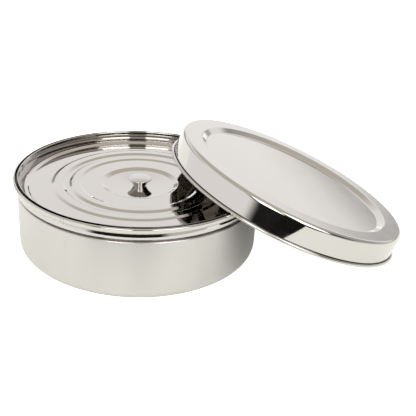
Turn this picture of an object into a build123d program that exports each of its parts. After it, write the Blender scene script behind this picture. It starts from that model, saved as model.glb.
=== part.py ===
"""Round steel spice box (masala dabba), millimetres, +Z up.

The origin is the centre of the box's underside. Every piece is thin pressed sheet, so each one is
a path of straight runs and bends, given the sheet's thickness and revolved. The inner lid sits on
a ledge inside the rim, and the outer lid leans on the rim with its mouth bead on the ground.
"""
import os
from math import asin, cos, degrees, hypot, pi, radians, sin, sqrt

from build123d import *

# Sheet and rolled edges
sheet = 0.6
rim_wire = 1.0                # radius of the box's rolled rim
bead_wire = 1.3               # radius of the outer lid's rolled mouth bead
bowl_wire = 0.8               # radius of a bowl's rolled rim

# Box body
wall_radius = 97.4            # outside of the plain wall
box_height = 61.5
box_corner = 9.0              # outside radius between wall and floor
rim_flare = 0.6               # rolled rim beyond the plain wall
collar_flare = 2.9            # widest part of the collar beyond the plain wall
collar_crown_drop = 4.6       # from the top down to the collar's crown
collar_foot_drop = 5.9        # from the top down to the collar's lower bend
collar_neck_drop = 7.2        # from the top down to where the collar leaves the wall
ledge_drop = 9.4              # from the top down to the ledge that carries the inner lid
groove_height = 1.6           # upright inner face of the ledge's groove
groove_slope = 1.0            # rise of the groove's slanted lower side
wall_bend = 0.8               # bends are measured on the sheet's middle line
groove_bend = 0.5
collar_bend = 0.5
crown_bend = 0.9

# Inner lid: widths run inwards from the edge, heights are from the outer flat
lid_drop_gap = 0.8            # inner lid inside the rolled rim, all round
ledge_overlap = 1.6           # inner lid over the ledge
edge_width = 1.7
border_slope = 1.7            # each side of the raised border
border_width = 2.0
border_rise = 1.4
outer_flat = 17.3
step_slope = 2.6
ring_rise = 0.8
plateau_width = 6.0
channel_slope = 2.2
channel_width = 3.4
channel_depth = 1.2
inner_plateau = 5.2
fall_slope = 2.6
inner_flat = 15.2
recess_slope = 3.6
recess_depth = 1.7
dish_depth = 1.3              # the recess falls this much more towards its middle
seat_radius = 6.6             # flat seat under the knob
edge_bend = 0.6
border_bend = 1.6
foot_bend = 1.2               # where a slope meets a flat or a plateau gives way to the channel
ring_bend = 0.9
channel_bend = 1.6
recess_bend = 1.6
seat_bend = 2.0

# Knob and its fixing
knob_base = 5.05
knob_lip = 9.55
knob_flare_height = 6.4
knob_lip_height = 0.4
knob_dome = 0.7
screw_radius = 1.5
screw_gap = 0.05              # screw in the knob's hole
knob_hole_depth = 4.5
screw_bite = 4.0
lid_hole_gap = 0.3            # screw in the lid's and the washer's holes
washer_radius = 4.5
washer_thickness = 0.6
head_radius = 3.2
head_height = 1.6
slot_width = 0.8
slot_depth = 0.7

# Outer lid
slip_gap = 0.6                # skirt over the collar
lid_height = 21.6
lid_corner = 2.3
annulus_width = 16.5          # flat ring round the sunken panel
panel_bend = 1.8
panel_slope = 5.0
panel_depth = 3.6
lean_overhang = 24.8          # from the rim's outside out to the leaning bead's centre
lean_heading = 10.6           # degrees from +X
rest_gap = 0.3                # leaning bead above the rolled rim
ground_gap = 0.05

# Bowls and spoon
bowl_count = 6                # round the one in the middle
bowl_gap = 0.4                # between neighbouring rims
bowl_lift_gap = 0.8           # outer bowls inside the ledge, so that they lift out
bowl_corner = 9.5
bowl_rim_step = 0.9           # a bowl's wall inside its rolled rim
headroom = 9.9                # from the bowls' rims up to the knob's screw
spoon_gap = 0.3
spoon_sheet = 0.9
spoon_head = 12.0             # outside radius of the spoon's round head
spoon_dip = 5.5
spoon_reach = 84.0            # from the head's centre to the handle's end
handle_neck = 5.0
handle_end = 9.0
handle_root = 1.5              # the handle starts this far inside the head's edge


def walk_corners(start, steps):
    """Turn (inward width, rise) steps into a list of (radius, height) corners."""
    corners = [start]
    for width, rise in steps:
        corners.append((corners[-1][0] - width, corners[-1][1] + rise))
    return corners


def bent_path(corners, bends):
    """The middle line of a bent sheet: straight runs between corners, each with its own bend."""
    with BuildLine() as path:
        FilletPolyline(*corners, radius=bends)
    return path.line


# Radii and heights that the pieces share
half = sheet / 2
wall_line = wall_radius - half
rim_outer = wall_radius + rim_flare
rim_line = rim_outer - rim_wire
collar_line = wall_radius + collar_flare - half
inner_lid_radius = rim_outer - 2 * rim_wire - lid_drop_gap
ledge_radius = inner_lid_radius - ledge_overlap
ledge_z = box_height - ledge_drop

# Box body: floor, wall, groove that forms the ledge, collar and rolled rim
box_corners = [
    (0, half),
    (wall_line, half),
    (wall_line, ledge_z - sheet - groove_height - groove_slope),
    (ledge_radius + half, ledge_z - sheet - groove_height),
    (ledge_radius + half, ledge_z - half),
    (wall_line, ledge_z - half),
    (wall_line, box_height - collar_neck_drop),
    (collar_line, box_height - collar_foot_drop),
    (collar_line, box_height - collar_crown_drop),
    (rim_line, box_height - rim_wire),
]
box_bends = [box_corner - half, wall_bend, groove_bend, groove_bend, groove_bend]
box_bends += [collar_bend, collar_bend, crown_bend]
with BuildPart() as box_body:
    with BuildSketch(Plane.XZ):
        trace(bent_path(box_corners, box_bends), line_width=sheet)
        with Locations((rim_line, box_height - rim_wire)):
            Circle(rim_wire)
    revolve(axis=Axis.Z)
box_body.part.label = "box_body"

# Inner lid: raised border, wide flat, rings, channel, recess and the knob's flat seat
lid_line_z = ledge_z + half
lid_steps = [
    (edge_width, 0),
    (border_slope, border_rise),
    (border_width, 0),
    (border_slope, -border_rise),
    (outer_flat, 0),
    (step_slope, ring_rise),
    (plateau_width, 0),
    (channel_slope, -channel_depth),
    (channel_width, 0),
    (channel_slope, channel_depth),
    (inner_plateau, 0),
    (fall_slope, -ring_rise),
    (inner_flat, 0),
    (recess_slope, -recess_depth),
]
lid_corners = walk_corners((inner_lid_radius, lid_line_z), lid_steps)
seat_line_z = lid_line_z - recess_depth - dish_depth
lid_corners += [(seat_radius, seat_line_z), (0, seat_line_z)]
lid_bends = [edge_bend, border_bend, border_bend, foot_bend, ring_bend, ring_bend, foot_bend]
lid_bends += [channel_bend, channel_bend, foot_bend, ring_bend, ring_bend, foot_bend]
lid_bends += [recess_bend, seat_bend]
with BuildPart() as inner_lid:
    with BuildSketch(Plane.XZ):
        trace(bent_path(lid_corners, lid_bends), line_width=sheet)
    revolve(axis=Axis.Z)
    with BuildSketch(Plane.XY.offset(seat_line_z - sheet)):
        Circle(screw_radius + lid_hole_gap)
    extrude(amount=2 * sheet, mode=Mode.SUBTRACT)
inner_lid.part.label = "inner_lid"

# Knob: trumpet-shaped side, upright at the base, with a slightly domed top
seat_z = seat_line_z + half
flare_width = knob_lip - knob_base
flare_radius = (flare_width**2 + knob_flare_height**2) / (2 * flare_width)
flare_angle = asin(knob_flare_height / flare_radius) / 2
flare_middle = (
    knob_base + flare_radius * (1 - cos(flare_angle)),
    seat_z + flare_radius * sin(flare_angle),
)
lip_z = seat_z + knob_flare_height + knob_lip_height
with BuildPart() as lid_knob:
    with BuildSketch(Plane.XZ):
        with BuildLine():
            Line((0, seat_z), (knob_base, seat_z))
            ThreePointArc((knob_base, seat_z), flare_middle, (knob_lip, seat_z + knob_flare_height))
            Line((knob_lip, seat_z + knob_flare_height), (knob_lip, lip_z))
            dome_sag = knob_lip**2 / (2 * knob_dome) + knob_dome / 2
            dome_middle = sqrt(dome_sag**2 - (knob_lip / 2) ** 2) - dome_sag + knob_dome
            ThreePointArc((knob_lip, lip_z), (knob_lip / 2, lip_z + dome_middle), (0, lip_z + knob_dome))
            Line((0, lip_z + knob_dome), (0, seat_z))
        make_face()
    revolve(axis=Axis.Z)
    with BuildSketch(Plane.XY.offset(seat_z)):
        Circle(screw_radius + screw_gap)
    extrude(amount=knob_hole_depth, mode=Mode.SUBTRACT)
lid_knob.part.label = "lid_knob"

# Washer and screw that hold the knob from below
under_z = seat_line_z - half
with BuildPart() as knob_washer:
    with BuildSketch(Plane.XY.offset(under_z - washer_thickness)):
        Circle(washer_radius)
        Circle(screw_radius + lid_hole_gap, mode=Mode.SUBTRACT)
    extrude(amount=washer_thickness)
knob_washer.part.label = "knob_washer"

head_top = under_z - washer_thickness
with BuildPart() as knob_screw:
    with BuildSketch(Plane.XY.offset(head_top - head_height)):
        Circle(head_radius)
    extrude(amount=head_height)
    fillet(knob_screw.edges().sort_by(Axis.Z)[0], radius=head_height / 3)
    with BuildSketch(Plane.XY.offset(head_top - head_height)):
        Rectangle(2 * head_radius, slot_width)
    extrude(amount=slot_depth, mode=Mode.SUBTRACT)
    with BuildSketch(Plane.XY.offset(head_top)):
        Circle(screw_radius)
    extrude(amount=seat_z + screw_bite - head_top)
knob_screw.part.label = "knob_screw"

# Outer lid: where it leans. Its bead's centre line touches the ground and rides on the rolled rim.
skirt_line = wall_radius + collar_flare + slip_gap + half
bead_line = skirt_line + bead_wire
lean_reach = rim_outer + lean_overhang


def bead_point(lean, turn):
    """A point on the leaning bead's centre line, in the upright plane through the lid's tilt."""
    centre_z = ground_gap + bead_wire + bead_line * sin(lean)
    along = bead_line * cos(turn)
    return lean_reach + along * cos(lean), bead_line * sin(turn), centre_z - along * sin(lean)


def rim_clearance(lean):
    """Gap between the bead and the rolled rim where they cross, seen from above."""
    low, high = pi / 2, pi
    for _ in range(60):
        turn = (low + high) / 2
        x, y, _z = bead_point(lean, turn)
        if hypot(x, y) > rim_line:
            low = turn
        else:
            high = turn
    x, y, z = bead_point(lean, turn)
    rim_way = Vector(-y, x, 0).normalized()
    bead_way = Vector(-sin(turn) * cos(lean), cos(turn), sin(turn) * sin(lean)).normalized()
    across = abs(rim_way.cross(bead_way).normalized().Z)
    return (z - (box_height - rim_wire)) * across - rim_wire - bead_wire


low_lean, high_lean = radians(5), radians(60)
for _ in range(60):
    lean = (low_lean + high_lean) / 2
    if rim_clearance(lean) > rest_gap:
        high_lean = lean
    else:
        low_lean = lean

heading = radians(lean_heading)
lid_axis = Vector(sin(lean) * cos(heading), sin(lean) * sin(heading), cos(lean))
downhill = Vector(cos(lean) * cos(heading), cos(lean) * sin(heading), -sin(lean))
bead_centre = Vector(
    lean_reach * cos(heading),
    lean_reach * sin(heading),
    ground_gap + bead_wire + bead_line * sin(lean),
)
mouth = bead_centre - lid_axis * bead_wire
lean_plane = Plane(origin=mouth, x_dir=downhill, z_dir=downhill.cross(lid_axis))

# Outer lid: sunken panel, flat ring, skirt and rolled mouth bead
skirt_outer = skirt_line + half
panel_edge = skirt_outer - annulus_width
panel_corners = [
    (0, lid_height - half - panel_depth),
    (panel_edge - panel_slope, lid_height - half - panel_depth),
    (panel_edge, lid_height - half),
    (skirt_line, lid_height - half),
    (skirt_line, bead_wire),
]
panel_bends = [panel_bend, panel_bend, lid_corner - half]
with BuildPart() as outer_lid:
    with BuildSketch(lean_plane):
        trace(bent_path(panel_corners, panel_bends), line_width=sheet)
        with Locations((bead_line, bead_wire)):
            Circle(bead_wire)
    revolve(axis=Axis(mouth, lid_axis))
outer_lid.part.label = "outer_lid"

# Seven bowls with rolled rims, one in the middle and the others round it
bowl_rim = (ledge_radius - bowl_lift_gap - bowl_gap) / 3
ring_radius = 2 * bowl_rim + bowl_gap
bowl_wall = bowl_rim - bowl_rim_step - half
bowl_height = head_top - head_height - headroom - sheet
bowl_top = sheet + bowl_height
bowl_corners = [
    (0, half),
    (bowl_wall, half),
    (bowl_wall, bowl_height - bowl_wire),
    (bowl_rim - bowl_wire, bowl_height - bowl_wire),
]
bowls = []
for index in range(bowl_count + 1):
    angle = 2 * pi * (index - 1) / bowl_count
    distance = ring_radius if index else 0
    centre = Vector(distance * cos(angle), distance * sin(angle), sheet)
    with BuildPart() as bowl:
        with BuildSketch(Plane(origin=centre, x_dir=(1, 0, 0), z_dir=(0, -1, 0))):
            trace(bent_path(bowl_corners[:3], [bowl_corner - half]), line_width=sheet)
            with Locations(bowl_corners[3]):
                Circle(bowl_wire)
        revolve(axis=Axis(centre, (0, 0, 1)))
    bowl.part.label = f"bowl_{index}" if index else "bowl_centre"
    bowls.append(bowl)

# Spoon: its round head dips into one bowl and its handle lies across the middle one
spoon_z = bowl_top + spoon_gap
head_x = -ring_radius
dish_radius = (spoon_head**2 + spoon_dip**2) / (2 * spoon_dip)
with BuildPart() as spoon:
    with BuildSketch(Plane(origin=(head_x, 0, spoon_z), x_dir=(1, 0, 0), z_dir=(0, -1, 0))):
        with BuildLine():
            outer_lip = (spoon_head, 0)
            outer_low = (0, -spoon_dip)
            swing = asin(spoon_head / dish_radius) / 2
            dish_z = dish_radius - spoon_dip
            inner_radius = dish_radius - spoon_sheet
            inner_lip = (sqrt(inner_radius**2 - dish_z**2), 0)
            inner_swing = asin(inner_lip[0] / inner_radius) / 2
            Line(outer_lip, inner_lip)
            ThreePointArc(
                inner_lip,
                (inner_radius * sin(inner_swing), dish_z - inner_radius * cos(inner_swing)),
                (0, dish_z - inner_radius),
            )
            Line((0, dish_z - inner_radius), outer_low)
            ThreePointArc(
                outer_low,
                (dish_radius * sin(swing), dish_z - dish_radius * cos(swing)),
                outer_lip,
            )
        make_face()
    revolve(axis=Axis((head_x, 0, 0), (0, 0, 1)))
    with BuildSketch(Plane.XY.offset(spoon_z)):
        with BuildLine():
            Polyline(
                (head_x + spoon_head - handle_root, -handle_neck / 2),
                (head_x + spoon_reach - handle_end / 2, -handle_end / 2),
                (head_x + spoon_reach - handle_end / 2, handle_end / 2),
                (head_x + spoon_head - handle_root, handle_neck / 2),
                close=True,
            )
        make_face()
        with Locations((head_x + spoon_reach - handle_end / 2, 0)):
            Circle(handle_end / 2)
    extrude(amount=spoon_sheet)
    with BuildSketch(Plane.XY.offset(spoon_z)):
        with Locations((head_x, 0)):
            Circle(spoon_head)
            Circle(inner_lip[0], mode=Mode.SUBTRACT)
    extrude(amount=spoon_sheet)
spoon.part.label = "spoon"

pieces = [box_body, inner_lid, lid_knob, knob_washer, knob_screw, outer_lid, *bowls, spoon]
os.makedirs("parts", exist_ok=True)
for piece in pieces:
    export_step(piece.part, f"parts/{piece.part.label}.step")

print("outer lid leans", round(degrees(lean), 3), "degrees, its mouth's centre is at", mouth)
print("it tips about", bead_centre + downhill * bead_line)
print("bowls: rim", round(bowl_rim, 3), "ring", round(ring_radius, 3), "top", round(bowl_top, 3))
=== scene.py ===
# %% [markdown]
# # A round steel spice box, the masala dabba
#
# The box is kitchen ware pressed and spun from thin stainless sheet. A CAD model already fixes
# every size, and this notebook gives it the surfaces and finishes that make it look real.
# Blender works in metres, in the CAD model's own frame, with the origin under the box's middle.
# Profiles are written in millimetres, as on a drawing, and are scaled when they are turned.

import math

import bpy
import numpy as np
from mathutils import Matrix, Vector


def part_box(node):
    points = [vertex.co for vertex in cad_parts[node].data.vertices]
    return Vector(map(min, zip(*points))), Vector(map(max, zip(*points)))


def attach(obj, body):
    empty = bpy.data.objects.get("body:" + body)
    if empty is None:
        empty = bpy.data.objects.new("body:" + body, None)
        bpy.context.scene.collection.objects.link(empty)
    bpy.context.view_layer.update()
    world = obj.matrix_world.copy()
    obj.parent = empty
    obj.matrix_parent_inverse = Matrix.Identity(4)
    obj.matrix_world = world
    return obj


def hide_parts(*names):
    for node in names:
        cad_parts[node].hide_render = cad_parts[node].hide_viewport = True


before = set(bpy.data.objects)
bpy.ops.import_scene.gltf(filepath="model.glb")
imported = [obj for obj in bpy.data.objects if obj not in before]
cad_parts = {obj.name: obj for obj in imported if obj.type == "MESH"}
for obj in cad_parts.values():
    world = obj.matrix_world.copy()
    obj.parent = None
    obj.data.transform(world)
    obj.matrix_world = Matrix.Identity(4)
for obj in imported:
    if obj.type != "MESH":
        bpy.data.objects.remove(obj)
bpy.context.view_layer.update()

# %% [markdown]
# ## One way to make every round piece
#
# Steel ware is spun or pressed, so nearly every piece is a profile turned round an axis. Blender
# has a Screw modifier and a Spin tool for that, but both leave shading to guesswork, and a mirror
# finish shows every wrong normal. So the profile is worked out as exact arcs and straight runs,
# turned with numpy, and each face corner is told the true direction of the surface there.
#
# A chain is a stretch of profile with points (radius, height) and their normals. Inside a chain
# the shading is smooth. Where two chains meet there is a crease, as under a rolled edge.

# %% Profiles: chains of points with exact normals
MM = 0.001
SHEET = 0.6
HALF = SHEET / 2
BEND_STEPS = 9
ARC_STEPS = 25
ROLL_STEPS = 37


def bent(corners, bends):
    """Middle line of a bent sheet. Each inner corner is an arc tangent to both runs: it starts
    bend * tan(turn / 2) before the corner, and its normals turn evenly from one run to the next."""
    corners = np.array(corners, float)
    points, normals = [corners[0]], []
    for before, corner, after, bend in zip(corners, corners[1:], corners[2:], bends):
        way_in = (corner - before) / np.linalg.norm(corner - before)
        way_out = (after - corner) / np.linalg.norm(after - corner)
        turn = math.atan2(way_in[0] * way_out[1] - way_in[1] * way_out[0], way_in @ way_out)
        side = math.copysign(1, turn)
        start = corner - way_in * bend * math.tan(abs(turn) / 2)
        left = np.array([-way_in[1], way_in[0]])
        centre = start + side * bend * left
        if not normals:
            normals.append(left)
        angles = turn * np.linspace(0, 1, BEND_STEPS)
        spun = np.stack(
            [
                left[0] * np.cos(angles) - left[1] * np.sin(angles),
                left[0] * np.sin(angles) + left[1] * np.cos(angles),
            ],
            1,
        )
        points.extend(centre - side * bend * spun)
        normals.extend(spun)
    points.append(corners[-1])
    normals.append(normals[-1])
    return np.array(points), np.array(normals)


def straight(start, end):
    """A straight chain. Its normal is its direction turned a quarter turn left: (-y, x)."""
    start, end = np.array(start, float), np.array(end, float)
    way = (end - start) / np.linalg.norm(end - start)
    left = np.array([-way[1], way[0]])
    return np.array([start, end]), np.array([left, left])


def arc(centre, radius, start, sweep, steps=ARC_STEPS):
    """A chain along a circle: normal = (cos a, sin a), and point = centre + radius * normal."""
    angles = math.radians(start) + math.radians(sweep) * np.linspace(0, 1, steps)
    normals = np.stack([np.cos(angles), np.sin(angles)], 1)
    return np.array(centre) + radius * normals, normals


def cut_at_circle(chain, centre, radius):
    """End a chain where its last straight run enters a circle. The place is a + t (b - a), with
    t the first root of |a + t (b - a) - centre| = radius."""
    points, normals = chain
    a, b = points[-2], points[-1]
    way, off = b - a, a - np.array(centre)
    first, second, third = way @ way, 2 * way @ off, off @ off - radius**2
    t = (-second - math.sqrt(second**2 - 4 * first * third)) / (2 * first)
    points = points.copy()
    points[-1] = a + t * way
    return points, normals


def sides(path):
    """Both faces of a sheet: the middle line moved half a thickness to its left and its right."""
    points, normals = path
    return (points + HALF * normals, normals), (points - HALF * normals, -normals)


def reverse(chain):
    """The same stretch walked the other way, with its normals as they were."""
    return chain[0][::-1], chain[1][::-1]


def angle_at(point, centre):
    """Direction from centre to point, in degrees: atan2(rise, run)."""
    return math.degrees(math.atan2(point[1] - centre[1], point[0] - centre[0]))


def with_roll(path, centre, radius):
    """A sheet whose end runs into a rolled edge. The outline goes along one face, clockwise
    round the roll, and back along the other face."""
    left, right = (cut_at_circle(side, centre, radius) for side in sides(path))
    start, stop = angle_at(left[0][-1], centre), angle_at(right[0][-1], centre)
    clockwise = -((start - stop) % 360)
    return [left, arc(centre, radius, start, clockwise, ROLL_STEPS), reverse(right)]


def with_round_edge(path):
    """A sheet whose end is deburred: a half circle joins its two faces."""
    left, right = sides(path)
    start = angle_at(left[0][-1], path[0][-1])
    return [left, arc(path[0][-1], HALF, start, -180, 9), reverse(right)]


print("sheet:", SHEET, "mm thick, with", BEND_STEPS, "points in each bend")

# %% [markdown]
# ## Turning a profile
#
# The surface is a function of two parameters, the place along the profile and the turn round the
# axis: (radius cos t, radius sin t, height). Rows that lie on the axis shrink to one vertex, so
# the middle is closed by triangles. The piece's own upright coordinates are kept in an attribute
# called "own", so that a finish can follow the piece even where it leans.

# %% The lathe
SEGMENTS = 320
SAME_POINT = 1e-9
ON_AXIS = 1e-6


def turn_points(radius, height, turns):
    """(radius cos t, radius sin t, height) for whole arrays of radii, heights and turns."""
    return np.stack([radius * np.cos(turns), radius * np.sin(turns), height + 0 * turns], -1)


def lathe(name, chains, place=None, segments=SEGMENTS):
    """Turn chains, in millimetres, round +Z and move the result by the matrix place. A profile
    that closes on itself makes a ring, and one that starts and ends on the axis a solid."""
    rows = np.concatenate([points[:-1] for points, _ in chains] + [chains[-1][0][-1:]])
    ring_shaped = np.linalg.norm(rows[0] - rows[-1]) < SAME_POINT
    if ring_shaped:
        rows = rows[:-1]
    first_normal = np.concatenate([normals[:-1] for _, normals in chains])
    last_normal = np.concatenate([normals[1:] for _, normals in chains])
    turns = np.arange(segments) * 2 * math.pi / segments
    on_axis = rows[:, 0] < ON_AXIS
    counts = np.where(on_axis, 1, segments)
    starts = np.concatenate([[0], np.cumsum(counts)[:-1]])
    index = starts[:, None] + np.where(on_axis[:, None], 0, np.arange(segments)[None])
    grid = turn_points(rows[:, :1], rows[:, 1:], turns[None])
    own = np.zeros((counts.sum(), 3))
    own[index.ravel()] = grid.reshape(-1, 3)
    own *= MM

    low = np.arange(len(first_normal))
    high = (low + 1) % len(rows) if ring_shaped else low + 1
    ahead = np.roll(np.arange(segments), -1)
    corner_index = np.stack(
        [index[low], index[high], index[high][:, ahead], index[low][:, ahead]], -1
    )
    low_way = turn_points(first_normal[:, :1], first_normal[:, 1:], turns[None])
    high_way = turn_points(last_normal[:, :1], last_normal[:, 1:], turns[None])
    corner_way = np.stack([low_way, high_way, high_way[:, ahead], low_way[:, ahead]], 2)

    quad = ~on_axis[low] & ~on_axis[high]
    groups = [(quad, [0, 1, 2, 3]), (on_axis[low], [0, 1, 2]), (on_axis[high], [0, 1, 3])]
    loops, ways, sizes = [], [], []
    for chosen, corners in groups:
        picked = corner_index[chosen][..., corners].reshape(-1, len(corners))
        loops.append(picked.ravel())
        ways.append(corner_way[chosen][:, :, corners].reshape(-1, 3))
        sizes.append(np.full(len(picked), len(corners)))
    loops, ways, sizes = np.concatenate(loops), np.concatenate(ways), np.concatenate(sizes)

    # Faces must wind so that their own direction agrees with the normals worked out above
    face = own[loops[:4]] if sizes[0] == 4 else own[loops[:3]]
    if np.cross(face[1] - face[0], face[2] - face[1]) @ ways[0] < 0:
        ends = np.cumsum(sizes)
        begin = ends - sizes
        places = np.arange(len(loops))
        owner = np.repeat(np.arange(len(sizes)), sizes)
        flipped = begin[owner] + ends[owner] - 1 - places
        loops, ways = loops[flipped], ways[flipped]

    place = Matrix.Identity(4) if place is None else place
    spin = np.array(place.to_3x3())
    shift = np.array(place.to_translation())
    mesh = bpy.data.meshes.new(name)
    mesh.vertices.add(len(own))
    mesh.vertices.foreach_set("co", (own @ spin.T + shift).ravel())
    mesh.loops.add(len(loops))
    mesh.loops.foreach_set("vertex_index", loops.astype(np.int32))
    mesh.polygons.add(len(sizes))
    mesh.polygons.foreach_set("loop_start", (np.cumsum(sizes) - sizes).astype(np.int32))
    mesh.polygons.foreach_set("use_smooth", np.ones(len(sizes), bool))
    mesh.update(calc_edges=True)
    mesh.normals_split_custom_set((ways @ spin.T).tolist())
    attribute = mesh.attributes.new("own", "FLOAT_VECTOR", "POINT")
    attribute.data.foreach_set("vector", own.ravel())
    piece = bpy.data.objects.new(name, mesh)
    bpy.context.scene.collection.objects.link(piece)
    print(f"{name}: {len(own)} vertices, {len(sizes)} faces")
    return piece


# %% [markdown]
# ## Standing for a CAD piece
#
# The CAD pieces are never edited. A new surface rides on the body that its CAD piece belongs to,
# so the joints move it, and the CAD piece that it stands for is hidden.

# %% Compare a new piece with the CAD piece that it stands for
def fit_to_cad(piece, node):
    """Largest difference, in mm, between the corners of the piece's box and of the CAD node's.
    Where two pieces share a node, each is only a part of it, so each differs."""
    points = np.empty(len(piece.data.vertices) * 3)
    piece.data.vertices.foreach_get("co", points)
    points = points.reshape(-1, 3)
    low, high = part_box(node)
    off = max(np.abs(points.min(0) - low).max(), np.abs(points.max(0) - high).max()) / MM
    print(f"{node}: box differs by {off:.3f} mm")


def stand_for(piece, node, body):
    """Compare a new piece with its CAD node, tie it to its body, and hide the node."""
    fit_to_cad(piece, node)
    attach(piece, body)
    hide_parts(node)


# %% [markdown]
# ## Steel finishes
#
# Everything is 304 stainless steel, and only the last work on each surface differs. Lids are
# buffed to a mirror, the wall keeps a satin brushing that runs round it, the knob is turned.
# A metal in the Principled shader needs Metallic 1 and its own colour. The rest of the look is
# roughness, and a bump so faint that it only bends the reflections. The Glossy BSDF would do for
# the mirror, but the Principled shader is the one that other programs can read.

# %% Colour and node helpers
def linear(hex_colour):
    """sRGB hex to linear RGBA: ((v + 0.055) / 1.055) to the power 2.4, or v / 12.92 near black."""
    values = np.array([int(hex_colour[i : i + 2], 16) for i in (1, 3, 5)]) / 255
    values = np.where(values > 0.04045, ((values + 0.055) / 1.055) ** 2.4, values / 12.92)
    return (*values.tolist(), 1)


def node(tree, kind, links=None, **settings):
    """Add a node. links maps an input to a socket, which is linked, or to a value, which is set."""
    added = tree.nodes.new("ShaderNode" + kind)
    for setting, value in settings.items():
        setattr(added, setting, value)
    for name, value in (links or {}).items():
        if isinstance(value, bpy.types.NodeSocket):
            tree.links.new(value, added.inputs[name])
        else:
            added.inputs[name].default_value = value
    return added


def new_finish(name):
    """An empty material and its node tree."""
    material = bpy.data.materials.new(name)
    material.use_nodes = True
    material.node_tree.nodes.clear()
    return material, material.node_tree


# %% [markdown]
# ## Round patterns
#
# Buffing, turning and brushing all leave marks that run round the piece. The "own" attribute
# gives a point's place on its piece, so the distance from the axis, the turn about it and the
# height are the natural coordinates for those marks. Painted shade in crevices also lies at one
# distance and one height, so the same three numbers place it.

# %% Round coordinates for the finishes
def round_places(tree):
    """Radius sqrt(x x + y y), turn atan2(y, x) and height z of the piece's own coordinates."""
    own = node(tree, "Attribute", attribute_name="own").outputs["Vector"]
    split = node(tree, "SeparateXYZ", {"Vector": own})
    x, y, z = (split.outputs[axis] for axis in "XYZ")
    flat = node(tree, "CombineXYZ", {"X": x, "Y": y})
    radius = node(tree, "VectorMath", {0: flat.outputs[0]}, operation="LENGTH").outputs["Value"]
    turn = node(tree, "Math", {0: y, 1: x}, operation="ARCTAN2").outputs[0]
    return own, radius, turn, z


def math_node(tree, operation, *values):
    """One Math node with its values in order."""
    return node(tree, "Math", dict(enumerate(values)), operation=operation).outputs[0]


def times(tree, first, second):
    """The product, which is also "both" when the two values are masks."""
    return math_node(tree, "MULTIPLY", first, second)


def within(tree, value, middle, half_width):
    """1 where value lies within half_width of middle, else 0."""
    return math_node(tree, "COMPARE", value, middle, half_width)


def ramp_to(tree, value, start, stop, low, high):
    """low before start, high after stop, and a straight line between."""
    links = {"Value": value, "From Min": start, "From Max": stop, "To Min": low, "To Max": high}
    return node(tree, "MapRange", links).outputs[0]


def mix(tree, share, low, high):
    """The colour low * (1 - share) + high * share."""
    return node(tree, "MixRGB", {"Fac": share, "Color1": low, "Color2": high}).outputs[0]


# %% [markdown]
# ## Buffed steel, and painted shade on the outer lid
#
# Here the outer lid is buffed to a mirror inside and out. Its inside is painted a dull dark brown
# as painted shade under the leaning lid, and the crevice above the bead is painted black as
# painted shade. One material can show all three when it knows where it is on the lid.
#
# The inside is the part below the top's middle line, except at the corner, where the two faces are
# arcs about one centre and only the distance from that centre tells them apart. So the lid's main
# sizes are named here, before the finish, and the lid's own profile uses the same names.

# %% Sizes that the outer lid shares with its finish
PANEL_LEVEL, PANEL_EDGE, BORDER_EDGE = 17.7, 80, 85
BORDER_TOP, SKIRT, CORNER_BEND = 21.3, 101.2, 2.9
BEND_CENTRE = (SKIRT - CORNER_BEND, BORDER_TOP - CORNER_BEND)
BORDER_MIDDLE = 21.1
BEAD_CREVICE, BEAD_CREVICE_HALF = (101.7, 2.3), (0.4, 0.7)
CREVICE_FILL = 0.9
print("centre of the lid's corner bend:", [round(v, 2) for v in BEND_CENTRE])

# %% Buffed finish
STEEL = "#C4C1BE"
# Painted shade: the dark brown of the outer lid's underside
UNDERSIDE_SHADE = "#6A645A"
# Painted shade: black in the crevices at the lid's bead and the box's rim, also the seam lines'
# colour
SHADE_AND_SEAM_BLACK = "#050404"
WAVE_LENGTH, SMEAR_LENGTH, SMEAR_CLOUD = 0.034, 0.021, 0.07
SMEAR_RANGE, SMEAR_GRAIN = (0.45, 0.75), 0.62


def inside_of_lid(tree, radius, z):
    """1 on the outer lid's inner face: below the top's middle line, and nearer to the centre of
    the corner's bend than its radius. The distance is the length of (radius - centre, height -
    centre), each taken as 0 where it is negative, so it only counts past the bend's centre."""
    edge, border = PANEL_EDGE * MM, BORDER_EDGE * MM
    middle = ramp_to(tree, radius, edge, border, PANEL_LEVEL * MM, BORDER_MIDDLE * MM)
    under = math_node(tree, "LESS_THAN", z, middle)
    past, above = (
        math_node(tree, "MAXIMUM", math_node(tree, "SUBTRACT", value, centre * MM), 0.0)
        for value, centre in zip((radius, z), BEND_CENTRE)
    )
    from_bend = node(tree, "CombineXYZ", {"X": past, "Y": above}).outputs[0]
    reach = node(tree, "VectorMath", {0: from_bend}, operation="LENGTH").outputs["Value"]
    return times(tree, under, math_node(tree, "LESS_THAN", reach, CORNER_BEND * MM))


def lid_colour(tree, radius, z):
    """Steel outside, dark brown inside and black in the crevice above the bead, both painted shade.
    """
    inside = inside_of_lid(tree, radius, z)
    # Painted shade: the lid's underside is painted dark brown
    colour = mix(tree, inside, linear(STEEL), linear(UNDERSIDE_SHADE))
    at_radius, at_height = (
        within(tree, value, middle * MM, half * MM)
        for value, middle, half in zip((radius, z), BEAD_CREVICE, BEAD_CREVICE_HALF)
    )
    # Painted shade: black in the crevice above the bead
    painted_shade = times(tree, times(tree, at_height, at_radius), CREVICE_FILL)
    return mix(tree, painted_shade, colour, linear(SHADE_AND_SEAM_BLACK))


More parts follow.
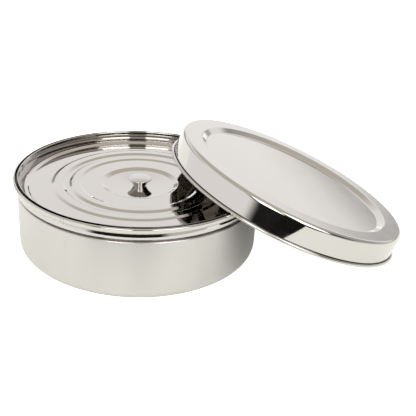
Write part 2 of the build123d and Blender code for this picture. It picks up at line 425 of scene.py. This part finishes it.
def mirror_finish(name, ring_pitch, ring_depth, wave_depth, roughness, shaded_inside=False):
    """304 steel buffed on a wheel. It mirrors the room. Rings from the buffing, a noise of the
    radius, and slow waves from the press bend the mirror image, and finger smears cloud it a
    little. With the inside flag set, painted shade darkens the outer lid's inner face and
    the crevice above its bead."""
    material, tree = new_finish(name)
    own, radius, _, z = round_places(tree)
    pitch = {"W": radius, "Scale": 1 / ring_pitch, "Detail": 3.0}
    rings = node(tree, "TexNoise", pitch, noise_dimensions="1D")
    waves = node(tree, "TexNoise", {"Vector": own, "Scale": 1 / WAVE_LENGTH, "Detail": 1.0})
    patches = {"Vector": own, "Scale": 1 / SMEAR_LENGTH, "Detail": 5.0, "Roughness": SMEAR_GRAIN}
    smears = node(tree, "TexNoise", patches)
    ring_bump = node(tree, "Bump", {"Height": rings.outputs[0], "Distance": ring_depth})
    bump = node(
        tree,
        "Bump",
        {"Height": waves.outputs[0], "Distance": wave_depth, "Normal": ring_bump.outputs[0]},
    )
    smeared = roughness + SMEAR_CLOUD
    cloud = ramp_to(tree, smears.outputs[0], *SMEAR_RANGE, roughness, smeared)
    colour = lid_colour(tree, radius, z) if shaded_inside else linear(STEEL)
    shader = node(
        tree,
        "BsdfPrincipled",
        {
            "Base Color": colour,
            "Metallic": 1.0,
            "Roughness": cloud,
            "Normal": bump.outputs[0],
        },
    )
    node(tree, "OutputMaterial", {"Surface": shader.outputs[0]})
    return material


# The inner lid: a clear mirror that shows the room with slow waves in it
mirror_steel = mirror_finish("mirror_buffed_304_steel", 0.0011, 1.0e-7, 2.5e-5, 0.035)
# The outer lid: the same mirror outside, with painted shade inside and in its bead's crevice
lid_steel = mirror_finish(
    "mirror_buffed_lid_steel", 0.0011, 1.0e-7, 2.5e-5, 0.035, shaded_inside=True
)
# Bowls spun on a form: closer and deeper rings, and a softer mirror
bowl_steel = mirror_finish("spun_and_buffed_bowl_steel", 0.0009, 4.0e-7, 1.0e-5, 0.07)
# A spoon pressed from strip: the softest mirror of all
spoon_steel = mirror_finish("pressed_spoon_steel", 0.0020, 1.0e-7, 1.0e-5, 0.09)
# A knob turned on a lathe: fine tool rings break its reflections up
turned_steel = mirror_finish("turned_knob_steel", 0.0006, 1.2e-6, 0.0, 0.06)
print("buffed finishes:", [m.name for m in bpy.data.materials])

# %% [markdown]
# ## The wall's satin finish
#
# The straight wall is brushed round and round, so it gives a soft image, while the collar, the rim
# and the inside are buffed. The Principled shader's Anisotropic input stretches a soft reflection
# along one direction, and the Tangent node set to radial gives it a direction round the axis.
#
# The collar is a band bent round and welded, so two fine upright lines mark its seam, and they
# show on the wall as faint marks. The crevice between the rim and the collar is painted black as
# painted shade. The gap is there in the surface too, but the painted dark colour does most of the
# work, and it also covers the outer half of the rim's bead.

# %% Wall finish
WALL_OUTSIDE, WALL_TOP, SATIN_FADE = 95.5 * MM, 50.0 * MM, 0.4 * MM
BUFFED_ROUGHNESS, SATIN_ROUGHNESS = 0.045, (0.3, 0.35)
STREAK_RANGE, WALL_WAVE_LENGTH, WALL_WAVE_DEPTH = (0.3, 0.7), 0.03, 2.0e-5
RIM_CREVICE, RIM_CREVICE_HALF = (97.6, 60.1), (1.0, 1.5)
CREVICE_TURNS, CREVICE_SHARES = (-105, -60), (1.0, 0.75)
SEAM_TURN = math.radians(-116.5)
SEAM_HALF_WIDTH, SEAM_LINE = 0.011, 0.0022
SEAM_HEIGHTS, SEAM_SHARES = (54 * MM, 57 * MM), (0.06, 0.35)


def wall_shade_and_seam(tree, radius, turn, z):
    """Share of black: painted shade in a ring at the rim that thins out with the turn, and seam
    lines SEAM_HALF_WIDTH to each side of the seam, faint on the wall and plain on the collar."""
    # Painted shade: black in the crevice between the rim and the collar, weaker towards one side
    at_radius, at_height = (
        within(tree, value, middle * MM, half * MM)
        for value, middle, half in zip((radius, z), RIM_CREVICE, RIM_CREVICE_HALF)
    )
    thinning = ramp_to(tree, turn, *(math.radians(v) for v in CREVICE_TURNS), *CREVICE_SHARES)
    painted_shade = times(tree, times(tree, at_height, at_radius), thinning)
    from_seam = math_node(tree, "ABSOLUTE", math_node(tree, "SUBTRACT", turn, SEAM_TURN))
    seam = within(tree, from_seam, SEAM_HALF_WIDTH, SEAM_LINE)
    seam = times(tree, seam, ramp_to(tree, z, *SEAM_HEIGHTS, *SEAM_SHARES))
    return math_node(tree, "MAXIMUM", painted_shade, seam)


def wall_finish(name):
    """304 steel: satin outside and below WALL_TOP, buffed everywhere else. The roughness is the
    buffed one plus the satin share of the difference, and streaks round the wall vary it."""
    material, tree = new_finish(name)
    own, radius, turn, z = round_places(tree)
    outside = math_node(tree, "GREATER_THAN", radius, WALL_OUTSIDE)
    below = ramp_to(tree, z, WALL_TOP, WALL_TOP - SATIN_FADE, 0.0, 1.0)
    satin = times(tree, outside, below)
    around = node(tree, "CombineXYZ", {"X": turn, "Z": z}).outputs[0]
    streaks = node(
        tree, "TexNoise", {"Vector": around, "Scale": 5.0, "Detail": 4.0, "Roughness": 0.6}
    )
    waves = node(tree, "TexNoise", {"Vector": own, "Scale": 1 / WALL_WAVE_LENGTH, "Detail": 1.0})
    bump = node(tree, "Bump", {"Height": waves.outputs[0], "Distance": WALL_WAVE_DEPTH})
    rough_wall = ramp_to(tree, streaks.outputs[0], *STREAK_RANGE, *SATIN_ROUGHNESS)
    rough = ramp_to(tree, satin, 0.0, 1.0, BUFFED_ROUGHNESS, rough_wall)
    around_axis = node(tree, "Tangent", direction_type="RADIAL", axis="Z").outputs[0]
    # Black from painted shade in the rim's crevice and from the collar's seam lines
    shade_and_seam = wall_shade_and_seam(tree, radius, turn, z)
    colour = mix(tree, shade_and_seam, linear(STEEL), linear(SHADE_AND_SEAM_BLACK))
    shader = node(
        tree,
        "BsdfPrincipled",
        {
            "Base Color": colour,
            "Metallic": 1.0,
            "Roughness": rough,
            "Anisotropic": 0.75,
            "Anisotropic Rotation": 0.25,
            "Tangent": around_axis,
            "Normal": bump.outputs[0],
        },
    )
    node(tree, "OutputMaterial", {"Surface": shader.outputs[0]})
    return material


# The box and its collar: a soft image on the wall, a sharp one above and inside
satin_steel = wall_finish("satin_brushed_304_steel")
print("wall finish:", satin_steel.name)

# %% [markdown]
# ## The box body
#
# The body is a deep-drawn pan. Near the top its wall is pressed in to a groove that stands
# inside as the ledge for the inner lid, then comes out again, leans in as a neck, and ends in a
# small rolled rim, where the raw edge is hidden. The neck has a long soft bend, since a sharp one
# would gather a bright reflection.

# %% Box body
BOX_CORNERS = [
    (0, 0.3),
    (97.1, 0.3),
    (97.1, 48.9),
    (93.9, 49.9),
    (93.9, 51.8),
    (97.6, 51.8),
    (97.6, 53.8),
    (96.9, 57.0),
    (96.1, 58.6),
    (96.6, 60.9),
]
BOX_BENDS = [8.7, 0.8, 0.5, 0.5, 0.4, 9.0, 1.5, 1.5]
RIM_CENTRE, RIM_WIRE = (96.6, 60.9), 0.6
body_chains = with_roll(bent(BOX_CORNERS, BOX_BENDS), RIM_CENTRE, RIM_WIRE)
body_piece = lathe("box_wall_and_floor", body_chains)
body_piece.data.materials.append(satin_steel)
stand_for(body_piece, "box_body", "box")

# %% [markdown]
# ## The collar
#
# The outer lid slides over a band that goes round the neck. As its own piece, with a narrow dark
# crevice between it and the rim, it reads as a band that was added, and not as a fold of the pan.
# It is a closed outline with rounded corners, so it is a ring when it is turned.

# %% Collar, an outline drawn from its top to its foot
COLLAR_CORNERS = [
    (96.9, 59.0),
    (98.4, 59.0),
    (98.75, 61.3),
    (99.5, 61.3),
    (100.25, 60.6),
    (100.2, 58.0),
    (99.6, 57.1),
    (96.4, 57.1),
]
COLLAR_BENDS = [0.3, 0.35, 0.6, 0.8, 0.5, 0.3]
collar_outline = bent(COLLAR_CORNERS, COLLAR_BENDS)
collar_chains = [collar_outline, straight(COLLAR_CORNERS[-1], COLLAR_CORNERS[0])]
collar_piece = lathe("box_collar", collar_chains)
collar_piece.data.materials.append(satin_steel)
stand_for(collar_piece, "box_body", "box")

# %% [markdown]
# ## The inner lid
#
# The inner lid is a flat pressing stiffened by rings. Inwards from its edge come a raised border,
# a wide flat, a raised ring with a sunken channel in it, another flat, and a recess for the knob.
# The profile is listed from the middle outwards, and the hole for the screw starts it.

# %% Inner lid
LID_CORNERS = [
    (1.8, 49.4),
    (6.6, 49.4),
    (27.8, 50.7),
    (31.4, 52.4),
    (46.6, 52.4),
    (49.2, 53.2),
    (54.4, 53.2),
    (56.6, 52.0),
    (60.0, 52.0),
    (62.2, 53.2),
    (68.2, 53.2),
    (70.8, 52.4),
    (88.1, 52.4),
    (89.8, 53.8),
    (91.8, 53.8),
    (93.5, 52.4),
    (95.2, 52.4),
]
LID_BENDS = [2.0, 1.6, 1.2, 0.9, 0.9, 1.2, 1.6, 1.6, 1.2, 0.9, 0.9, 1.2, 1.6, 1.6, 0.6]

lid_chains = with_round_edge(bent(LID_CORNERS, LID_BENDS))
lid_chains.append(straight(lid_chains[-1][0][-1], lid_chains[0][0][0]))
lid_piece = lathe("inner_lid_pressing", lid_chains)
lid_piece.data.materials.append(mirror_steel)
stand_for(lid_piece, "inner_lid", "inner_lid")

# %% [markdown]
# ## Knob, washer and screw
#
# The knob is turned from bar: a trumpet side, a thin lip and a slightly domed top. A screw from
# below pulls it against the lid, with a washer between. The screw is hidden, so the CAD piece is
# shown as it is and only gets its finish.

# %% Knob and its fixing
SEAT, KNOB_BASE, KNOB_LIP, FLARE, LIP_ROUND, KNOB_TOP = 49.7, 5.05, 9.55, 6.45, 0.3, 57.2
FLANK_BOW = 0.55
FLANK_TO_LIP = np.array([0.67, -0.74])
lip_centre = np.array([KNOB_LIP - LIP_ROUND, SEAT + FLARE])


def bowed(start, end, bow):
    """Arc from start to end whose middle lies bow to the left of the chord: radius
    (half chord squared + bow squared) / (2 bow)."""
    start, end = np.array(start, float), np.array(end, float)
    half = np.linalg.norm(end - start) / 2
    way = (end - start) / (2 * half)
    radius = (half**2 + bow**2) / (2 * bow)
    centre = (start + end) / 2 - (radius - bow) * np.array([-way[1], way[0]])
    first, last = angle_at(start, centre), angle_at(end, centre)
    return arc(centre, radius, first, (last - first + 180) % 360 - 180, 40)


flank = bowed((KNOB_BASE, SEAT), lip_centre + LIP_ROUND * FLANK_TO_LIP, FLANK_BOW)
flank = (flank[0], -flank[1])
flank_end = math.degrees(math.atan2(flank[1][-1][1], flank[1][-1][0]))
rise = KNOB_TOP - lip_centre[1] - LIP_ROUND
dome_radius = (lip_centre[0] ** 2 + rise**2) / (2 * rise)
dome_turn = math.degrees(math.asin(lip_centre[0] / dome_radius))
knob_chains = [
    arc((0, KNOB_TOP - dome_radius), dome_radius, 90, -dome_turn, 24),
    arc(lip_centre, LIP_ROUND, 90 - dome_turn, flank_end - 90 + dome_turn, 13),
    reverse(flank),
    straight((KNOB_BASE, SEAT), (0, SEAT)),
]
knob_piece = lathe("knob_turning", knob_chains, segments=192)
knob_piece.data.materials.append(turned_steel)
stand_for(knob_piece, "lid_knob", "inner_lid")

# %% Washer, and the finish of the screw
UNDER, WASHER, WASHER_RADIUS, WASHER_HOLE, EASE = 49.1, 0.6, 4.5, 1.8, 0.15
washer_chains = [
    straight((WASHER_HOLE, UNDER), (WASHER_RADIUS - EASE, UNDER)),
    arc((WASHER_RADIUS - EASE, UNDER - EASE), EASE, 90, -90, 5),
    straight((WASHER_RADIUS, UNDER - EASE), (WASHER_RADIUS, UNDER - WASHER + EASE)),
    arc((WASHER_RADIUS - EASE, UNDER - WASHER + EASE), EASE, 0, -90, 5),
    straight((WASHER_RADIUS - EASE, UNDER - WASHER), (WASHER_HOLE, UNDER - WASHER)),
    straight((WASHER_HOLE, UNDER - WASHER), (WASHER_HOLE, UNDER)),
]
washer_piece = lathe("washer_stamping", washer_chains, segments=96)
washer_piece.data.materials.append(turned_steel)
stand_for(washer_piece, "knob_washer", "inner_lid")

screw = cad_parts["knob_screw"]
screw.data.materials.clear()
screw.data.materials.append(turned_steel)

# %% [markdown]
# ## The outer lid
#
# The outer lid is deep, with a sunken panel in its top and a rolled bead round its mouth. It
# leans on the box's rim with the bead on the ground. Its own frame has its origin in the middle
# of the mouth and Z along its axis, and a matrix turns that frame into place. The raised border
# is dished a little, so it gathers the room into a band instead of one flat patch.

# %% Outer lid
LEAN = math.radians(21.268)
HEADING = math.radians(10.6)
MOUTH = Vector((120.241, 22.5025, 37.3186)) * MM
lean_matrix = (
    Matrix.Translation(MOUTH) @ Matrix.Rotation(HEADING, 4, "Z") @ Matrix.Rotation(LEAN, 4, "Y")
)
BEAD_CENTRE, BEAD_WIRE = (102.5, 1.3), 1.3
PANEL_CORNERS = [
    (0, PANEL_LEVEL),
    (PANEL_EDGE, PANEL_LEVEL),
    (BORDER_EDGE, 20.95),
    (SKIRT, BORDER_TOP),
    (SKIRT, BEAD_WIRE),
]
PANEL_BENDS = [1.8, 1.8, CORNER_BEND]

panel = bent(PANEL_CORNERS, PANEL_BENDS)
outside, inside = sides(panel)
outside = cut_at_circle(outside, BEAD_CENTRE, BEAD_WIRE)
inside[0][-1] += (0, HALF)
bead_start = angle_at(outside[0][-1], BEAD_CENTRE)
outer_chains = [
    outside,
    arc(BEAD_CENTRE, BEAD_WIRE, bead_start, -180 - bead_start, 49),
    arc((SKIRT, BEAD_WIRE + HALF), HALF, -90, -90, 7),
    reverse(inside),
]
outer_piece = lathe("outer_lid_pressing", outer_chains, lean_matrix)
outer_piece.data.materials.append(lid_steel)
stand_for(outer_piece, "outer_lid", "outer_lid")

# %% [markdown]
# ## Bowls
#
# Seven small bowls for the spices stand in the box, one in the middle and six round it. They are
# spun alike, so one profile serves all seven, and the middle of each comes from its CAD piece's
# box.

# %% Bowls
BOWL_CORNERS = [(0, 0.3), (29.6, 0.3), (29.6, 35.6)]
BOWL_BENDS = [9.2]
BOWL_ROLL, BOWL_WIRE = (30.0, 35.6), 0.8
for name in ["bowl_centre"] + [f"bowl_{i}" for i in range(1, 7)]:
    low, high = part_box(name)
    foot = Vector(((low.x + high.x) / 2, (low.y + high.y) / 2, low.z))
    chains = with_roll(bent(BOWL_CORNERS, BOWL_BENDS), BOWL_ROLL, BOWL_WIRE)
    bowl = lathe(f"spun_{name}", chains, Matrix.Translation(foot), segments=160)
    bowl.data.materials.append(bowl_steel)
    stand_for(bowl, name, name)

# %% [markdown]
# ## Spoon
#
# The spoon is pressed from one strip: a round dish and a flat handle that widens to a round end.
# Its surface is a grid of two parameters. One runs along the spoon, the other round its cross
# section, which is a flat loop with rounded edges. A grid needs no joint between the dish and the
# handle, which are one piece of steel.

# %% Spoon
SPOON_Z, HEAD_X, HEAD_RADIUS, DIP, SPOON_SHEET = 37.3, -62.0, 12.0, 5.5, 0.9
REACH, NECK, END = 84.0, 5.0, 9.0
RIM_FLAT, JOIN_SHARPNESS = 0.6, 5


def spoon_surface(along, round_turn):
    """Half width joins the head's circle and the widening handle smoothly, by the fifth root of
    the sum of their fifth powers, and the handle ends in a half circle. Height is the strip's
    middle, lowered in the head by almost a paraboloid."""
    stop = HEAD_X + REACH
    x = HEAD_X - HEAD_RADIUS + (HEAD_RADIUS + REACH) * (1 - np.cos(math.pi * along)) / 2
    head = np.sqrt(np.clip(HEAD_RADIUS**2 - (x - HEAD_X) ** 2, 0, None))
    share = np.clip((x - HEAD_X) / REACH, 0, 1)
    handle = np.where(x > HEAD_X, NECK / 2 + (END - NECK) / 2 * share, 0)
    rounding = np.clip((x - (stop - END / 2)) / (END / 2), 0, 1)
    handle = handle * np.sqrt(1 - rounding**2)
    joined = (head**JOIN_SHARPNESS + handle**JOIN_SHARPNESS) ** (1 / JOIN_SHARPNESS)
    width = np.where(x > HEAD_X, joined, head)
    across = np.sign(np.cos(round_turn)) * np.abs(np.cos(round_turn)) ** 0.6
    up = np.sign(np.sin(round_turn)) * np.abs(np.sin(round_turn)) ** 0.35
    y = width * across
    reach = np.sqrt((x - HEAD_X) ** 2 + y**2) / (HEAD_RADIUS - RIM_FLAT)
    dish = (DIP - SPOON_SHEET / 2) * np.clip(1 - reach**2, 0, None) ** 1.15
    edge = np.clip(width / (SPOON_SHEET / 2), 0, 1)
    z = SPOON_Z + SPOON_SHEET / 2 - dish + edge * SPOON_SHEET / 2 * up
    return np.stack([x + 0 * y, y, z], -1)


def closed_grid(name, rows):
    """Skin a grid whose rows are closed loops, with one vertex at each end of the piece."""
    count, loop = rows.shape[:2]
    body = rows[1:-1].reshape(-1, 3)
    points = np.concatenate([body, rows[:1, 0], rows[-1:, 0]]) * MM
    index = np.arange(len(body)).reshape(count - 2, loop)
    ahead = np.roll(index, -1, 1)
    quads = np.stack([index[:-1], index[1:], ahead[1:], ahead[:-1]], -1).reshape(-1, 4)
    first = np.stack([index[0], ahead[0], np.full(loop, len(body))], -1)
    last = np.stack([ahead[-1], index[-1], np.full(loop, len(body) + 1)], -1)
    mesh = bpy.data.meshes.new(name)
    mesh.from_pydata(points.tolist(), [], quads.tolist() + first.tolist() + last.tolist())
    mesh.polygons.foreach_set("use_smooth", np.ones(len(mesh.polygons), bool))
    attribute = mesh.attributes.new("own", "FLOAT_VECTOR", "POINT")
    attribute.data.foreach_set("vector", (points - (HEAD_X * MM, 0, 0)).ravel())
    piece = bpy.data.objects.new(name, mesh)
    bpy.context.scene.collection.objects.link(piece)
    print(f"{name}: {len(points)} vertices")
    return piece


along, round_turn = np.meshgrid(
    np.linspace(0, 1, 220), np.linspace(0, 2 * math.pi, 80, endpoint=False), indexing="ij"
)
spoon_piece = closed_grid("pressed_spoon", spoon_surface(along, round_turn))
spoon_piece.data.materials.append(spoon_steel)
stand_for(spoon_piece, "spoon", "spoon")

# %% [markdown]
# ## The table
#
# A mirror shows its room, so the room matters as much as the steel. The box stands on a light
# table of opal acrylic, lit from below, which gives a soft white ground with faint shadows.
# A Diffuse shader takes the box's shadow and an Emission shader adds the glow. The Light Path node
# makes the glow weaker in reflections than when it is seen directly, which no real table does. It
# keeps the ground white without filling the lower half of every mirror with white.

# %% Table
FLOOR_BACK, FLOOR_FRONT, FLOOR_SIDE = 2.2, -0.255, 2.2
GLOW_IN_MIRRORS, GLOW_SEEN = 0.25, 1.1
floor_mesh = bpy.data.meshes.new("pale_table")
floor_mesh.from_pydata(
    [
        (-FLOOR_SIDE, FLOOR_FRONT, 0),
        (FLOOR_SIDE, FLOOR_FRONT, 0),
        (FLOOR_SIDE, FLOOR_BACK, 0),
        (-FLOOR_SIDE, FLOOR_BACK, 0),
    ],
    [],
    [(0, 1, 2, 3)],
)
floor = bpy.data.objects.new("pale_table", floor_mesh)
bpy.context.scene.collection.objects.link(floor)
# Opal acrylic over lamps: an even white that still takes a shadow
opal_acrylic, tree = new_finish("opal_acrylic_light_table")
painted = node(tree, "BsdfDiffuse", {"Color": linear("#EFF2ED")})
seen = node(tree, "LightPath").outputs["Is Camera Ray"]
glow = ramp_to(tree, seen, 0.0, 1.0, GLOW_IN_MIRRORS, GLOW_SEEN)
lit = node(tree, "Emission", {"Color": linear("#FCFDF8"), "Strength": glow})
both = node(tree, "AddShader", {0: painted.outputs[0], 1: lit.outputs[0]})
node(tree, "OutputMaterial", {"Surface": both.outputs[0]})
floor_mesh.materials.append(opal_acrylic)
print("table:", FLOOR_SIDE * 2, "m wide, in", opal_acrylic.name)

# %% [markdown]
# ## The room in the mirror
#
# The world gives each direction a brightness by its height (the sine of its elevation) and its
# turn (the compass angle, 0 towards +X and 90 towards +Y). Height comes through a ramp. Turn comes
# through smooth steps, because one lamp or dark corner covers a stretch of the compass.
#
# Behind the box and to its left the room is pale. To the right of the back its horizon is dimmer,
# and a dim shelf crosses the left. On the near side the room is dark near the horizon, with two
# tall lamps in it. The values were set one by one until the reflections looked right.
#
# Only glossy rays see this room. Diffuse rays see a plain dome that is brighter at the front, so
# the table is lit evenly, and camera rays see plain white.

# %% Helpers for the room
world = bpy.data.worlds.new("soft_studio")
bpy.context.scene.world = world
world.use_nodes = True
tree = world.node_tree
tree.nodes.clear()
BRIGHTEST = 5.0
LOWEST = -0.3
PALE = np.array([1.0, 0.985, 0.97])
CEILING = np.array([0.75, 0.715, 0.63])


def part_of_brightest(colour):
    """Ramps and mixes stop at 1, so a colour is divided by BRIGHTEST, which the world restores."""
    return (*(np.array(colour) / BRIGHTEST).tolist(), 1)


def brightness_ramp(height, stops):
    """Colour at each height of the room, as a part of the brightest. Stops are (sine, colour)."""
    ramp = node(tree, "ValToRGB", {"Fac": height})
    for index, (sine, colour) in enumerate(stops):
        place = (sine - LOWEST) / (1 - LOWEST)
        if index == 0:
            stop = ramp.color_ramp.elements[0]
            stop.position = place
        elif index == len(stops) - 1:
            stop = ramp.color_ramp.elements[-1]
            stop.position = place
        else:
            stop = ramp.color_ramp.elements.new(place)
        stop.color = part_of_brightest(colour)
    return ramp.outputs[0]


def step(value, start, stop):
    """0 before start and 1 after stop, smooth between."""
    links = {"Value": value, "From Min": start, "From Max": stop}
    return node(tree, "MapRange", links, interpolation_type="SMOOTHSTEP").outputs[0]


def stretch(value, start, stop, soft):
    """1 between start and stop, 0 outside. Each edge is centred there and spreads soft to each
    side."""
    rise = step(value, start - soft, start + soft)
    fall = step(value, stop + soft, stop - soft)
    return math_node(tree, "MULTIPLY", rise, fall)


towards = node(tree, "TexCoord").outputs["Generated"]
split = node(tree, "SeparateXYZ", {"Vector": towards})
sine = split.outputs["Z"]
height = ramp_to(tree, sine, LOWEST, 1.0, 0.0, 1.0)
turn = math_node(tree, "ARCTAN2", split.outputs["Y"], split.outputs["X"])


def compass(start, stop, soft):
    """The stretch of the room between two turns, in degrees."""
    return stretch(turn, math.radians(start), math.radians(stop), math.radians(soft))


# %% Brightness of each side by height
back_right = brightness_ramp(
    height,
    [
        (-0.3, 0.62 * PALE),
        (0.05, 0.62 * PALE),
        (0.08, 1.05 * PALE),
        (0.11, 1.2 * PALE),
        (0.5, 1.22 * PALE),
        (0.72, CEILING),
        (1.0, CEILING),
    ],
)
left_side = brightness_ramp(
    height, [(-0.3, 1.2 * PALE), (0.45, 1.2 * PALE), (0.72, CEILING), (1.0, CEILING)]
)
dark_side = brightness_ramp(
    height,
    [
        (-0.3, 0.01 * PALE),
        (0.15, 0.02 * PALE),
        (0.45, 0.12 * PALE),
        (0.62, CEILING),
        (1.0, CEILING),
    ],
)
right_side = brightness_ramp(
    height,
    [(-0.3, 0.9 * PALE), (0.1, 0.8 * PALE), (0.3, 0.5 * PALE), (0.85, CEILING), (1.0, CEILING)],
)
print("ramps: back right, left side, dark side, right side")

# %% Put the room together, turn by turn
# Each stretch is (start, stop, softness), turns in degrees and heights as sines
DIM_HORIZON, AWAY_FROM_WINDOW, TO_THE_RIGHT = (30, 77, 4), (-127, 42, 6), (-12, 42, 6)
SHELF_TURNS, SHELF_HEIGHT = (106, 172, 6), (0.12, 0.31, 0.03)
LOW_TURNS, LOW_TOP = (-60, 42, 6), (0.14, 0.06)
LEFT_LAMP, RIGHT_LAMP, LAMP_HEIGHT = (-117, -90, 1.5), (-71, -39, 1.5), (0.25, 0.8, 0.02)
LAMP, SHELF, LOW_RIGHT = (part_of_brightest(v * PALE) for v in (4.2, 0.5, 0.8))

room = mix(tree, compass(*DIM_HORIZON), left_side, back_right)
left_shelf = times(tree, compass(*SHELF_TURNS), stretch(sine, *SHELF_HEIGHT))
room = mix(tree, left_shelf, room, SHELF)
room = mix(tree, compass(*AWAY_FROM_WINDOW), room, dark_side)
room = mix(tree, compass(*TO_THE_RIGHT), room, right_side)
low_right = times(tree, compass(*LOW_TURNS), step(sine, *LOW_TOP))
room = mix(tree, low_right, room, LOW_RIGHT)
either_lamp = math_node(tree, "ADD", compass(*LEFT_LAMP), compass(*RIGHT_LAMP))
lamps = times(tree, either_lamp, stretch(sine, *LAMP_HEIGHT))
room = mix(tree, lamps, room, LAMP)
print("lamp colour as a part of the brightest:", [round(v, 3) for v in LAMP[:3]])

# %% Dome for diffuse rays, white for camera rays
DIM_DOME, FULL_DOME = (part_of_brightest(v * PALE) for v in (0.55, 2.0))
SEEN_WHITE = part_of_brightest(np.ones(3))
DOME_EDGE = 0.6
from_front = ramp_to(tree, split.outputs["Y"], DOME_EDGE, -DOME_EDGE, 0.0, 1.0)
soft_dome = mix(tree, from_front, DIM_DOME, FULL_DOME)
rays = node(tree, "LightPath")
soft_dome = mix(tree, rays.outputs["Is Camera Ray"], soft_dome, SEEN_WHITE)
room = mix(tree, rays.outputs["Is Glossy Ray"], soft_dome, room)
background = node(tree, "Background", {"Color": room, "Strength": BRIGHTEST})
node(tree, "OutputWorld", {"Surface": background.outputs[0]})
print("world:", world.name, "with", len(tree.nodes), "nodes")

# %% [markdown]
# ## The camera
#
# The camera looks down on the box from the front. A long lens, near 62 mm, keeps the circles from
# spreading at the edges. Standard view transform shows white as white, which a white ground needs.

# %% Camera
PICTURE_WIDTH, FOCAL_LENGTH = 416, 720.88
CAMERA_PLACE, LOOK_DOWN, ROLL = (0.0571, -0.5391, 0.29335), 25.75, 3.79
camera_data = bpy.data.cameras.new("camera")
camera = bpy.data.objects.new("camera", camera_data)
bpy.context.scene.collection.objects.link(camera)
camera_data.sensor_width = 36
camera_data.lens = FOCAL_LENGTH / PICTURE_WIDTH * camera_data.sensor_width
camera_data.clip_start = 0.01
camera.matrix_world = (
    Matrix.Translation(CAMERA_PLACE)
    @ Matrix.Rotation(math.radians(90 - LOOK_DOWN), 4, "X")
    @ Matrix.Rotation(math.radians(ROLL), 4, "Z")
)
bpy.context.scene.camera = camera
bpy.context.scene.view_settings.view_transform = "Standard"
print("lens:", round(camera_data.lens, 1), "mm")
